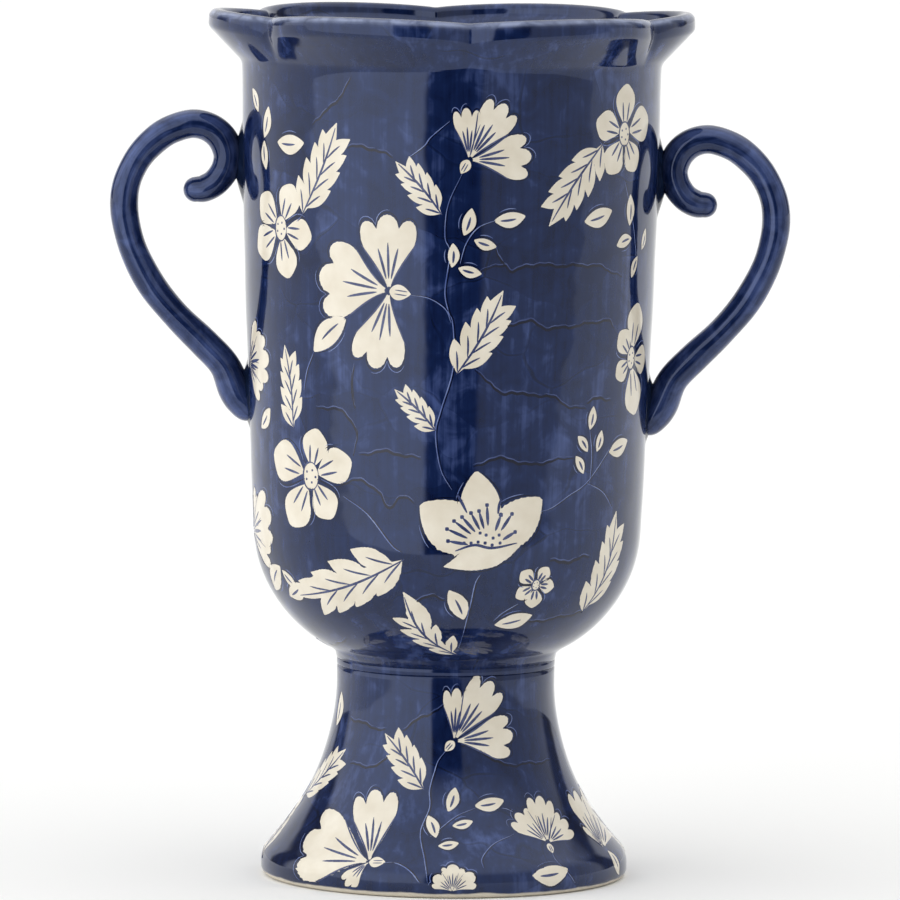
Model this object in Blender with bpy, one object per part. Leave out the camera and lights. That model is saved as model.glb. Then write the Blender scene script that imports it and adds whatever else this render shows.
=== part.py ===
"""Two-handled footed vase: a thrown cup with a lobed rim, on a flared hollow foot.

Metres, +Z up. The origin is the middle of the foot's ground ring, -Y is the front and the
handles lie along X. The clay pieces are joined with thin layers of slip.
"""
import math

import bmesh
import bpy
import numpy as np

# Fits
GAP = 0.0003                # clearance between neighbouring clay pieces
SLIP = 0.0015               # thickness of the slip under each handle end
WAIST_SLIP = 0.0015         # thickness of the slip between foot and body
CREASE = 0.0006             # how far the waist slip lies back from the outside

# Foot
FOOT_HEIGHT = 0.081
FOOT_RADIUS = 0.070
FOOT_WALL = 0.0075
FOOT_LIP = 0.0092           # height of the corner between the flare and the upright edge
FLARE_CORNER = 0.0395       # height where the lines of neck and flare would meet
FLARE_ROUND = 0.095
FOOT_LIP_ROUND = 0.009
GROUND_ROUND = 0.0034       # rounding of the foot's lower outer edge
RING_WIDTH = 0.0095         # width of the foot at the ground, rounding included
NECK_RADIUS = 0.0417        # waist: the top of the foot and the base of the body

# Body
BODY_HEIGHT = 0.2469
WALL = 0.006
FLOOR = 0.008
NECK_RISE = 0.0032          # height of the corner between waist and bowl, above the base
NECK_ROUND = 0.004
BOWL_RADIUS = 0.0725        # where the lines of bowl and wall would meet
BOWL_RISE = 0.0186
BOWL_ROUND = 0.053
BELLY_RADIUS = 0.0784       # where the lower, steeper taper gives way to the upper one
BELLY_RISE = 0.162
BELLY_ROUND = 1.5
SHOULDER_RADIUS = 0.0795    # crease below the rim
SHOULDER_ROUND = 0.005
RIM_RADIUS = 0.0924         # outside of a lobe
RIM_FLARE = 0.0132          # height of the flare, from the crease to the lip's lower corner
LIP_HEIGHT = 0.0065
LIP_ROUND = 0.0029
FLOOR_ROUND = 0.012

# Lobes of the rim
LOBES = 6
NOTCH_DEPTH = 0.0092        # how far a notch is pushed in from the lobe's circle
NOTCH_DIP = 0.002           # how far the lip dips in a notch
NOTCH_TURN = 4.5            # degrees from the front to the nearest notch, towards +X
NOTCH_SHARPNESS = 0.75      # below 1, the lobes are fuller and the notches narrower

# Handles, by the left one
HANDLE_RADIUS = 0.0054      # half the thickness seen from the front
HANDLE_ASPECT = 1.2         # width across, as a share of that thickness
JOINT_BITE = 0.0017         # depth of the flat that a handle has where it is pressed on
LOWER_JOINT_RISE = 0.100    # middle of the lower joint above the body's base
HANDLE_DROP = 0.004         # how much lower the right handle sits
LOWER_PAD = (0.0135, 0.0075)    # half height and half width of the lower slip
UPPER_PAD = (0.0155, 0.0062)
UPPER_PAD_RISE = 0.0885     # middle of the upper slip above the lower one
HANDLE_REACH = 0.0434       # centreline's furthest distance out from its seat on the wall
HANDLE_RISE = 0.1028        # top of the arch above the lower joint

# Centreline of a handle, as shares of its reach out, its rise and its thickness
HANDLE_ROUTE = (
    (-0.11, -0.085, 0.4),       # buried end, rounded off
    (-0.07, -0.065, 0.9),
    (0.0, -0.03, 1.12),
    (0.075, 0.02, 1.18),        # pressed down along the wall
    (0.166, 0.11, 1.1),
    (0.335, 0.19, 1.04),
    (0.565, 0.29, 1.0),         # leaves the wall at 45 degrees
    (0.77, 0.40, 1.0),
    (0.915, 0.52, 1.0),
    (0.985, 0.625, 0.98),
    (1.0, 0.71, 0.98),          # furthest out
    (0.965, 0.79, 0.98),
    (0.87, 0.87, 0.98),
    (0.745, 0.93, 0.99),
    (0.595, 0.975, 1.0),
    (0.40, 1.0, 1.03),          # top of the arch
)
# End of the centreline, past the upper joint: the scroll
SCROLL_ROUTE = (
    (0.16, 0.987, 1.03),        # added to the seat of the upper joint
    (0.045, 0.947, 1.03),
    (-0.005, 0.89, 1.02),
    (0.02, 0.836, 1.0),
    (0.104, 0.787, 0.98),
    (0.203, 0.763, 0.95),
    (0.283, 0.758, 0.88),       # tip
)

# Fineness of the round shapes
SEGMENTS = 60               # round the vase, a multiple of the lobes
CHORD = 0.00015             # how far a facet may lie inside its arc
HANDLE_SIDES = 12
HANDLE_STEPS = 2            # rings between two points of the centreline
TIP_RINGS = 4

# Heights that follow
BODY_BASE = FOOT_HEIGHT + WAIST_SLIP + 2 * GAP
BODY_TOP = BODY_BASE + BODY_HEIGHT
LIP_CORNER = BODY_TOP - LIP_HEIGHT
SHOULDER = LIP_CORNER - RIM_FLARE
HANDLE_SEAT = SLIP + 2 * GAP    # distance of a handle's flat from the wall


def clear_scene():
    """Remove what the scene holds."""
    for obj in list(bpy.data.objects):
        bpy.data.objects.remove(obj, do_unlink=True)


def glaze(name, colour, roughness):
    """A glazed clay finish."""
    material = bpy.data.materials.new(name)
    material.use_nodes = True
    shader = material.node_tree.nodes["Principled BSDF"]
    shader.inputs["Base Color"].default_value = (*colour, 1.0)
    shader.inputs["Roughness"].default_value = roughness
    shader.inputs["Metallic"].default_value = 0.0
    return material


def add_object(name, bm, material=None):
    """Put a finished bmesh into the scene, shaded smooth apart from its sharp edges."""
    bmesh.ops.recalc_face_normals(bm, faces=bm.faces)
    mesh = bpy.data.meshes.new(name)
    bm.to_mesh(mesh)
    bm.free()
    mesh.shade_smooth()
    mesh.set_sharp_from_angle(angle=math.radians(35))
    if material:
        mesh.materials.append(material)
    obj = bpy.data.objects.new(name, mesh)
    bpy.context.collection.objects.link(obj)
    return obj


def add_cutter(name, bm):
    """An object that only shapes others."""
    obj = add_object(name, bm)
    obj.hide_render = True
    obj.display_type = "WIRE"
    return obj


def cut(obj, cutter, operation):
    """Shape an object with a cutter: DIFFERENCE or INTERSECT."""
    modifier = obj.modifiers.new(cutter.name, "BOOLEAN")
    modifier.operation = operation
    modifier.object = cutter


def offset(corners, distance):
    """Move a profile's lines to their left by a distance, and meet them again in mitres."""
    points = np.array([corner[:2] for corner in corners])
    along = np.diff(points, axis=0)
    along /= np.linalg.norm(along, axis=1)[:, None]
    left = np.column_stack((-along[:, 1], along[:, 0]))
    before = np.vstack((left[:1], left))
    after = np.vstack((left, left[-1:]))
    mitre = (before + after) / (1 + (before * after).sum(axis=1))[:, None]
    return points + distance * mitre


def rounded(corners):
    """Turn corners (radius, height, rounding) into points, with an arc at each corner.

    A rounding is limited where two of them would meet on the line between them.
    """
    points = np.array([corner[:2] for corner in corners])
    rounding = np.array([corner[2] for corner in corners])
    along = np.diff(points, axis=0)
    length = np.linalg.norm(along, axis=1)
    along /= length[:, None]
    turn = np.zeros(len(points))
    cross = along[:-1, 0] * along[1:, 1] - along[:-1, 1] * along[1:, 0]
    turn[1:-1] = np.arctan2(cross, (along[:-1] * along[1:]).sum(axis=1))
    reach = rounding * np.tan(np.abs(turn) / 2)
    share = np.minimum(1, length / np.maximum(reach[:-1] + reach[1:], 1e-9))
    limit = np.minimum(np.append(share, 1), np.insert(share, 0, 1))
    result = [points[0]]
    for i in range(1, len(points) - 1):
        radius = rounding[i] * limit[i]
        if radius * abs(turn[i]) < CHORD:
            result.append(points[i])
            continue
        start = points[i] - along[i - 1] * reach[i] * limit[i]
        side = math.copysign(1, turn[i])
        normal = side * np.array((-along[i - 1][1], along[i - 1][0]))
        centre = start + radius * normal
        steps = math.ceil(abs(turn[i]) / (2 * math.acos(1 - CHORD / radius)))
        for angle in np.linspace(0, abs(turn[i]), steps + 1):
            result.append(centre - radius * normal * math.cos(angle)
                          + radius * along[i - 1] * math.sin(angle))
    result.append(points[-1])
    return np.array(result)


def turned(profile, closed=False):
    """Spin a profile of (radius, height) round the vase's axis."""
    bm = bmesh.new()
    turn = math.radians(NOTCH_TURN)
    verts = [bm.verts.new((r * math.sin(turn), -r * math.cos(turn), z)) for r, z in profile]
    ends = verts[1:] + verts[:1] if closed else verts[1:]
    edges = [bm.edges.new(pair) for pair in zip(verts, ends)]
    bmesh.ops.spin(bm, geom=verts + edges, cent=(0, 0, 0), axis=(0, 0, 1),
                   angle=math.tau, steps=SEGMENTS, use_merge=True)
    bmesh.ops.remove_doubles(bm, verts=bm.verts, dist=1e-6)
    return bm


def wall_corners():
    """Corners of the body's outside, from its base to the lip's lower corner."""
    return [
        (NECK_RADIUS, BODY_BASE, 0),
        (NECK_RADIUS, BODY_BASE + NECK_RISE, NECK_ROUND),
        (BOWL_RADIUS, BODY_BASE + BOWL_RISE, BOWL_ROUND),
        (BELLY_RADIUS, BODY_BASE + BELLY_RISE, BELLY_ROUND),
        (SHOULDER_RADIUS, SHOULDER, SHOULDER_ROUND),
        (RIM_RADIUS, LIP_CORNER, LIP_ROUND),
        (RIM_RADIUS, BODY_TOP, LIP_ROUND),
    ]


def wall_radius(height):
    """Radius of the body's outside at a height."""
    outline = rounded(wall_corners())
    return float(np.interp(height, outline[:, 1], outline[:, 0]))


def body_profile():
    """Outside, lip, inside and floor of the body."""
    outside = wall_corners()
    inside = offset(outside, WALL)
    floor = BODY_BASE + FLOOR
    slope = (inside[2] - inside[1]) / (inside[2] - inside[1])[1]
    floor_edge = inside[1] + slope * (floor - inside[1][1])
    lining = [
        (*inside[6], LIP_ROUND),
        (*inside[5], LIP_ROUND),
        (*inside[4], SHOULDER_ROUND + WALL),
        (*inside[3], BELLY_ROUND - WALL),
        (*inside[2], BOWL_ROUND - WALL),
        (*floor_edge, FLOOR_ROUND),
        (0, floor, 0),
    ]
    return rounded([(0, BODY_BASE, 0)] + outside + lining)


def pinch_rim(bm):
    """Push the rim in at the notches, more and more from the crease to the lip."""
    for vert in bm.verts:
        rise = (vert.co.z - SHOULDER) / RIM_FLARE
        radius = math.hypot(vert.co.x, vert.co.y)
        if rise <= 0 or radius == 0:
            continue
        from_front = math.atan2(vert.co.x, -vert.co.y) - math.radians(NOTCH_TURN)
        fullness = abs(math.sin(LOBES * from_front / 2)) ** NOTCH_SHARPNESS
        amount = min(rise, 1) * (1 - fullness)
        scale = 1 - NOTCH_DEPTH * amount / radius
        vert.co.x *= scale
        vert.co.y *= scale
        vert.co.z -= NOTCH_DIP * amount


def make_body():
    bm = turned(body_profile())
    pinch_rim(bm)
    add_object("body", bm, glaze("cobalt_glaze_body", (0.016, 0.027, 0.14), 0.12))


def make_foot():
    outside = [
        (NECK_RADIUS, FOOT_HEIGHT, 0),
        (NECK_RADIUS, FLARE_CORNER, FLARE_ROUND),
        (FOOT_RADIUS, FOOT_LIP, FOOT_LIP_ROUND),
        (FOOT_RADIUS, 0, GROUND_ROUND),
    ]
    inside = offset(outside[:3], -FOOT_WALL)
    ring = FOOT_RADIUS - RING_WIDTH
    slope = (inside[2] - inside[1]) / (inside[2] - inside[1])[0]
    ring_top = inside[1] + slope * (ring - inside[1][0])
    lining = [
        (ring, 0, 0),
        (*ring_top, 0),
        (*inside[1], FLARE_ROUND + FOOT_WALL),
        (*inside[0], 0),
    ]
    bm = turned(rounded(outside + lining), closed=True)
    add_object("pedestal_foot", bm, glaze("cobalt_glaze_foot", (0.016, 0.027, 0.14), 0.12))


def make_waist_slip():
    low = FOOT_HEIGHT + GAP
    high = low + WAIST_SLIP
    outer = NECK_RADIUS - CREASE
    inner = NECK_RADIUS - FOOT_WALL
    bm = turned([(outer, low), (outer, high), (inner, high), (inner, low)], closed=True)
    add_object("waist_slip_ring", bm, glaze("pooled_glaze_waist", (0.006, 0.011, 0.05), 0.10))


def wall_cutter(name, distance):
    """The body's outside as a full solid, grown by a distance."""
    corners = wall_corners()
    grown = offset(corners, -distance)
    outline = rounded([(*point, corner[2]) for point, corner in zip(grown, corners)])
    return add_cutter(name, turned([(0, outline[0][1]), *outline, (0, outline[-1][1])]))


def smooth_route(points):
    """A Catmull-Rom curve through the points, with HANDLE_STEPS steps in each stretch."""
    points = np.array(points)
    first = 2 * points[0] - points[1]
    last = 2 * points[-1] - points[-2]
    p = np.vstack((first, points, last))
    t = np.arange(HANDLE_STEPS)[:, None] / HANDLE_STEPS
    runs = []
    for a, b, c, d in zip(p[:-3], p[1:-2], p[2:-1], p[3:]):
        runs.append(0.5 * (2 * b + (c - a) * t + (2 * a - 5 * b + 4 * c - d) * t ** 2
                           + (3 * b - a - 3 * c + d) * t ** 3))
    return np.vstack((*runs, points[-1:]))


def handle_route(drop):
    """Centreline of a handle as (distance from the axis, height, half thickness)."""
    joint = BODY_BASE + LOWER_JOINT_RISE - drop
    scroll_seat = HANDLE_RADIUS - JOINT_BITE
    route = []
    for seat, shares in ((0, HANDLE_ROUTE), (scroll_seat, SCROLL_ROUTE)):
        for out, up, thickness in shares:
            height = joint + HANDLE_RISE * up
            distance = wall_radius(height) + HANDLE_SEAT + seat + HANDLE_REACH * out
            route.append((distance, height, HANDLE_RADIUS * thickness))
    return smooth_route(route)


def make_handle(name, side, drop, cutter):
    """Sweep an oval along the centreline, round off the scroll's tip and fit it to the wall."""
    route = handle_route(drop)
    heading = np.gradient(route[:, :2], axis=0)
    heading /= np.linalg.norm(heading, axis=1)[:, None]
    tip = route[-1]
    for angle in np.linspace(0, math.pi / 2, TIP_RINGS + 2)[1:-1]:
        ahead = tip[:2] + heading[-1] * tip[2] * math.sin(angle)
        route = np.vstack((route, [*ahead, tip[2] * math.cos(angle)]))
        heading = np.vstack((heading, heading[-1]))
    bm = bmesh.new()
    rings = []
    for (x, z, half), (dx, dz) in zip(route, heading):
        ring = []
        for k in range(HANDLE_SIDES):
            angle = math.tau * k / HANDLE_SIDES
            across = half * math.cos(angle)
            ring.append(bm.verts.new((side * (x - across * dz),
                                      half * HANDLE_ASPECT * math.sin(angle),
                                      z + across * dx)))
        rings.append(ring)
    for low, high in zip(rings[:-1], rings[1:]):
        for k in range(HANDLE_SIDES):
            n = (k + 1) % HANDLE_SIDES
            bm.faces.new((low[k], low[n], high[n], high[k]))
    bm.faces.new(rings[0])
    bm.faces.new(rings[-1])
    handle = add_object(name, bm, glaze("cobalt_glaze_" + name, (0.013, 0.022, 0.12), 0.12))
    cut(handle, cutter, "DIFFERENCE")


def make_pad(name, side, height, half_size, outer, inner):
    """A lens of slip between the wall and a handle: an oval block trimmed by both."""
    half_height, half_width = half_size
    bm = bmesh.new()
    reach = (SHOULDER_RADIUS + BOWL_RADIUS) / 2
    bmesh.ops.create_cone(bm, cap_ends=True, segments=24, radius1=1, radius2=1, depth=reach)
    for vert in bm.verts:
        x, y, z = vert.co
        vert.co = (side * (reach + z), half_width * y, height + half_height * x)
    pad = add_object(name, bm, glaze("pooled_glaze_" + name, (0.006, 0.011, 0.05), 0.10))
    cut(pad, outer, "INTERSECT")
    cut(pad, inner, "DIFFERENCE")


def main():
    clear_scene()
    make_body()
    make_foot()
    make_waist_slip()
    handle_cutter = wall_cutter("handle_seat", HANDLE_SEAT)
    slip_face = wall_cutter("slip_face", GAP + SLIP)
    slip_back = wall_cutter("slip_back", GAP)
    for word, side, drop in (("left", -1, 0), ("right", 1, HANDLE_DROP)):
        make_handle(word + "_handle", side, drop, handle_cutter)
        low = BODY_BASE + LOWER_JOINT_RISE - drop
        high = low + UPPER_PAD_RISE
        make_pad(word + "_lower_slip_pad", side, low, LOWER_PAD, slip_face, slip_back)
        make_pad(word + "_upper_slip_pad", side, high, UPPER_PAD, slip_face, slip_back)


main()
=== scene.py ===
# %% [markdown]
# # A footed vase with two scroll handles
#
# The vase is a thrown cup on a flared foot, with a rim pinched into six lobes and two rolled
# handles. It is glazed in brushed cobalt, and its flowers and leaves are left in the cream of
# the clay. This lesson dresses the plain solids of the vase: it works every surface out with
# numpy, paints the flowers as thin raised patches, and gives each finish a node material.

# %% The plain solids
import math

import bpy
import bmesh
import numpy as np
from mathutils import Matrix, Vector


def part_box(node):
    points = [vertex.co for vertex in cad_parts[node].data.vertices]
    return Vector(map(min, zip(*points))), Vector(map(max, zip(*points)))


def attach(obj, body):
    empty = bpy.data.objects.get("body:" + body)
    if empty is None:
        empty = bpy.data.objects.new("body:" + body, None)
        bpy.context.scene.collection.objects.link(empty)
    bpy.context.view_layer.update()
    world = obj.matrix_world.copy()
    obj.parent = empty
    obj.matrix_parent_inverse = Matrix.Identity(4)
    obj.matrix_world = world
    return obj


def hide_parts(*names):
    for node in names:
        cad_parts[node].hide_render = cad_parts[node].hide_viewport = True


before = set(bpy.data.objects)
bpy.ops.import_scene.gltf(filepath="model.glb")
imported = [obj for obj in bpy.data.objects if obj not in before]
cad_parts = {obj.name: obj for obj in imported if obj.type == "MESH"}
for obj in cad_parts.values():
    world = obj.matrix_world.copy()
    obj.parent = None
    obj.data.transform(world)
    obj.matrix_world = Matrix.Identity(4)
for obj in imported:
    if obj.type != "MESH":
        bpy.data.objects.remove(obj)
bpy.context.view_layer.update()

MM = 0.001

# %% [markdown]
# ## From an outline to a wall
#
# A potter's wheel makes surfaces of revolution, so the cup and the foot each start as an
# outline of radius against height. A few corners with a rounding give that outline. It could
# also be a drawn curve, but corners keep every size in view. The finished outline is read at
# even steps of its own length, because the flowers are laid on by length along the wall.

# %% Outlines with rounded corners
ARC_STEP = math.radians(2.0)


def rounded(corners):
    """Each corner (radius, height, rounding) is replaced by an arc that touches both its lines."""
    points = np.array([c[:2] for c in corners], float)
    along = np.diff(points, axis=0)
    along /= np.linalg.norm(along, axis=1)[:, None]
    runs = [points[:1]]
    for i in range(1, len(points) - 1):
        before, after = along[i - 1], along[i]
        turn = math.atan2(before[0] * after[1] - before[1] * after[0], before @ after)
        radius = corners[i][2]
        normal = math.copysign(1, turn) * np.array((-before[1], before[0]))
        start = points[i] - before * radius * math.tan(abs(turn) / 2)
        angle = np.linspace(0, abs(turn), max(2, int(abs(turn) / ARC_STEP) + 2))[:, None]
        runs.append(start + radius * (normal * (1 - np.cos(angle)) + before * np.sin(angle)))
    return np.vstack(runs + [points[-1:]])


def run_length(points):
    """Length along a line of points, from its start to each of them."""
    return np.insert(np.cumsum(np.linalg.norm(np.diff(points, axis=0), axis=1)), 0, 0)


def evenly(points, step):
    """The same outline, read at even steps of its length."""
    length = run_length(points)
    at = np.linspace(0, length[-1], int(length[-1] / step) + 2)
    return np.column_stack([np.interp(at, length, points[:, k]) for k in (0, 1)])


# %% [markdown]
# ## The outlines of cup and foot
#
# The cup's line runs up the outside, over the lip and down the inside to the middle of the
# floor; the foot's line goes once round its wall. They could be two separate skins, but one
# line keeps the wall's thickness in view. All numbers are millimetres, and the heights come
# from the solids, so that the dressed vase stands exactly where the plain one does.

# %% Outline of the cup and of the foot
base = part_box("body")[0][2] / MM
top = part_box("body")[1][2] / MM
foot_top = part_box("pedestal_foot")[1][2] / MM
NECK, BOWL, BELLY, SHOULDER, RIM = 41.7, 72.5, 78.4, 79.5, 92.4
WALL, FLOOR, LIP, FLARE, BELLY_RISE = 6.0, 8.0, 6.5, 13.2, 162
FOOT_RADIUS, FOOT_BORE, SEAT_RADIUS, AXIS = 70.0, 34.2, 34.5, 0.02
lip_corner = top - LIP
shoulder = lip_corner - FLARE

cup_outside = rounded([
    (NECK, base, 0), (NECK, base + 3.2, 4), (BOWL, base + 18.6, 53),
    (BELLY, base + BELLY_RISE, 1500), (SHOULDER, shoulder, 5), (RIM, lip_corner, 2.9),
    (RIM - 0.1, top, 2.9), (RIM - WALL, top, 2.9), (RIM - WALL, top - 4.1, 2.9),
    (SHOULDER - WALL, shoulder + 2.4, 11), (BELLY - WALL, base + BELLY_RISE, 1494),
    (BOWL - WALL + 0.3, base + 21.5, 47), (36.5, base + FLOOR, 12), (AXIS, base + FLOOR, 0)])
foot_outside = rounded([
    (SEAT_RADIUS, foot_top, 0), (NECK, foot_top, 0.2), (NECK, 39.5, 93), (FOOT_RADIUS, 9.2, 9.0),
    (FOOT_RADIUS, 0.0, 3.4), (61.0, 0.0, 1.5), (60.5, 8.4, 3), (FOOT_BORE, 36.5, 60),
    (FOOT_BORE, foot_top, 0.3), (SEAT_RADIUS, foot_top, 0)])
print("outline points:", len(cup_outside), len(foot_outside))

# %% [markdown]
# ## A wall that can carry flowers
#
# A place on a wall is an angle round the vase and a length along the outline. The same
# function places the clay and everything painted on it, so the two can't drift apart. It also
# holds the slow unevenness of a hand-thrown pot, a fifth of a millimetre or so.

# %% Places on a wall
STEP, PAINT_ENDS = 0.5, 3.0      # mm: reading step, height where the foot's paint ends


class Wall:
    """One turned outside: radius, height and outward normal by length along the outline."""

    def __init__(self, outline):
        line = evenly(outline, STEP)
        self.r, self.z = line.T
        self.s = np.arange(len(line)) * STEP
        slope = np.gradient(line, axis=0)
        slope /= np.linalg.norm(slope, axis=1)[:, None]
        self.nr, self.nz = slope[:, 1], -slope[:, 0]


def unevenness(around, height):
    """How far a hand-thrown wall strays from the true circle: slow waves, alike on both sides."""
    return (0.16 * np.sin(2 * around + 0.021 * height) + 0.08 * np.sin(4 * around - 0.034 * height)
            + 0.06 * np.sin(0.19 * height + 2 * np.cos(2 * around)))


def on_wall(wall, around, s, lift=0.0):
    """Point at an angle from the front and a length up the wall, lifted along the normal."""
    r, z = np.interp(s, wall.s, wall.r), np.interp(s, wall.s, wall.z)
    out = lift + unevenness(around, z)
    r = r + out * np.interp(s, wall.s, wall.nr)
    z = z + lift * np.interp(s, wall.s, wall.nz)
    return np.stack((r * np.sin(around), -r * np.cos(around), z), axis=-1)


rim_from = int(np.argmax(cup_outside[:, 1] > shoulder - 1))
cup_wall = Wall(cup_outside[:rim_from])
foot_first = int(np.argmax(foot_outside[:, 0] >= NECK - 1e-6))
foot_last = int(np.argmax(foot_outside[:, 1] < PAINT_ENDS))
foot_wall = Wall(foot_outside[foot_first:foot_last][::-1])
print("wall lengths in mm: cup", round(cup_wall.s[-1]), "foot", round(foot_wall.s[-1]))

# %% [markdown]
# ## The camera
#
# The photograph was taken with a long lens from about three metres, a little above the rim.
# The values below put rim, handles and foot where it shows them. The camera comes early
# because the flowers are placed by where the photograph shows them.

# %% Camera
FRAME = 900                     # pixels of the square picture
FOCAL = 8435.9                  # focal length in pixels
DISTANCE, CAMERA_HEIGHT = 3.2, 0.4489
PITCH, ROLL, SIDE_PIXELS = math.radians(5.112), math.radians(0.58), 2.09
DEPTHS = np.linspace(-100, 60, 3201)    # mm behind the axis where a line of sight is tested

camera_data = bpy.data.cameras.new("camera")
camera_data.sensor_width = 36.0
camera_data.lens = FOCAL / FRAME * camera_data.sensor_width
camera_data.clip_end = 100.0
camera = bpy.data.objects.new("camera", camera_data)
bpy.context.collection.objects.link(camera)
turned = (Matrix.Rotation(-math.atan(SIDE_PIXELS / FOCAL), 4, "Z")
          @ Matrix.Rotation(math.pi / 2 - PITCH, 4, "X") @ Matrix.Rotation(ROLL, 4, "Z"))
camera.matrix_world = Matrix.Translation((0, -DISTANCE, CAMERA_HEIGHT)) @ turned
bpy.context.scene.camera = camera
look = np.array(turned.to_3x3())


def spot(px, py):
    """Where the line of sight through a pixel first meets a wall: wall, angle, length up it."""
    ray = look @ np.array(((px - FRAME / 2) / FOCAL, (FRAME / 2 - py) / FOCAL, -1.0))
    t = (DEPTHS + DISTANCE / MM) / ray[1]
    x, y, z = ray[0] * t, DEPTHS, CAMERA_HEIGHT / MM + ray[2] * t
    on_cup = z > base
    radius = np.where(on_cup, np.interp(z, cup_wall.z, cup_wall.r),
                      np.interp(z, foot_wall.z, foot_wall.r))
    outside = np.hypot(x, y) - radius
    hit = int(np.argmax(outside < 0)) if (outside < 0).any() else int(np.argmin(outside))
    wall = cup_wall if on_cup[hit] else foot_wall
    return wall, math.atan2(x[hit], -y[hit]), float(np.interp(z[hit], wall.z, wall.s))


print("middle of the picture meets the wall at", spot(450, 450)[1:])

# %% [markdown]
# ## Meshes from grids
#
# A surface is a grid of points: rows along one parameter, columns along the other. One
# function joins a grid into faces, closing it round where it is a ring. Patches of colour are
# closed lenses: a front grid and a back grid, joined by a band round their border. Modelling
# tools could make such meshes too, but a grid ties every point to its formula.

# %% Grid helpers


def grid_faces(rows, columns, ring=False, closed=False):
    """Quads of a grid; ring joins the last column to the first, closed the last row to the first."""
    i = np.arange(rows if closed else rows - 1)[:, None]
    j = np.arange(columns if ring else columns - 1)[None, :]
    row, next_row, k = i * columns, (i + 1) % rows * columns, (j + 1) % columns
    corners = (row + j, row + k, next_row + k, next_row + j)
    return np.stack(corners, axis=-1).reshape(-1, 4)


def end_caps(rows, columns):
    """The first and the last row of a ring grid, each as one face."""
    return [list(range(columns)), list(range((rows - 1) * columns, rows * columns))]


def disc(n, m):
    """A square grid pressed into a unit disc: each coordinate shrinks as the other one grows."""
    x, y = np.meshgrid(np.linspace(-1, 1, n), np.linspace(-1, 1, m), indexing="ij")
    return x * np.sqrt(1 - y * y / 2), y * np.sqrt(1 - x * x / 2)


def closed_patch(front, back):
    """Thin closed form: a front grid, a back grid under it, and a band of quads round their border."""
    n, m = front.shape[:2]
    number = np.arange(n * m).reshape(n, m)
    border = np.concatenate((number[0, :-1], number[:-1, -1], number[-1, :0:-1], number[:0:-1, 0]))
    after = np.roll(border, -1)
    faces = grid_faces(n, m)
    band = np.column_stack((after, border, border + n * m, after + n * m))
    return (np.vstack((front.reshape(-1, 3), back.reshape(-1, 3))),
            np.vstack((faces, faces[:, ::-1] + n * m, band)))


def make_piece(name, points, faces, material, slot, replaces=None, extra_faces=(), facing=None):
    """Put points (mm) and faces into a mesh piece that rides with the vase; facing shades it."""
    mesh = bpy.data.meshes.new(name)
    mesh.from_pydata((points.reshape(-1, 3) * MM).tolist(), [], [*faces.tolist(), *extra_faces])
    bm = bmesh.new()
    bm.from_mesh(mesh)
    if facing is None:
        bmesh.ops.recalc_face_normals(bm, faces=bm.faces)
        if bm.calc_volume(signed=True) < 0:
            bmesh.ops.reverse_faces(bm, faces=bm.faces)
    bm.to_mesh(mesh)
    bm.free()
    mesh.shade_smooth()
    if facing is not None:
        mesh.normals_split_custom_set_from_vertices(facing.tolist())
    mesh.materials.append(material)
    piece = bpy.data.objects.new(name, mesh)
    bpy.context.collection.objects.link(piece)
    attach(piece, "root")
    if replaces:
        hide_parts(replaces)
    print(name, len(mesh.vertices), "points")
    return piece


# %% [markdown]
# ## Colours and nodes
#
# Colours are written as a painter's hex values and turned to linear light once. One small
# function adds a node, sets it and links it.

# %% Colour and node helpers


def linear(hex_colour):
    """An sRGB hex colour as linear red, green, blue and alpha."""
    srgb = np.array([int(hex_colour[k:k + 2], 16) for k in (1, 3, 5)]) / 255
    low = srgb <= 0.04045
    return (*np.where(low, srgb / 12.92, ((srgb + 0.055) / 1.055) ** 2.4).tolist(), 1.0)


def add(tree, kind, inputs=None, stops=(), **settings):
    """Add a node: inputs are values or links for its sockets, stops are a ramp's positions with a
    hex colour or a grey level, settings are its own values."""
    node = tree.nodes.new("ShaderNode" + kind)
    for key, value in settings.items():
        setattr(node, key, value)
    for key, value in (inputs or {}).items():
        if isinstance(value, bpy.types.NodeSocket):
            tree.links.new(value, node.inputs[key])
        else:
            node.inputs[key].default_value = value
    for _ in stops[2:]:
        node.color_ramp.elements.new(0.5)
    for k, (position, colour) in enumerate(stops):
        element = node.color_ramp.elements[k]
        element.position = position
        element.color = linear(colour) if isinstance(colour, str) else (colour,) * 3 + (1,)
    return node


def new_material(name):
    """An empty node material and its output."""
    material = bpy.data.materials.new(name)
    material.use_nodes = True
    material.node_tree.nodes.clear()
    output = material.node_tree.nodes.new("ShaderNodeOutputMaterial")
    return material, material.node_tree, output


# %% [markdown]
# ## Brushed cobalt glaze
#
# The blue was brushed on in overlapping washes and then covered with clear glaze. It gives
# the eye upright streaks a millimetre or two wide, patches a few centimetres across that end
# in a soft dark edge with a thin pale one beside it, and a wet gloss whose mirror images wander,
# because the glaze is not quite even. The pattern reads object coordinates in millimetres, so
# it runs round the pot with no seam.

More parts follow.
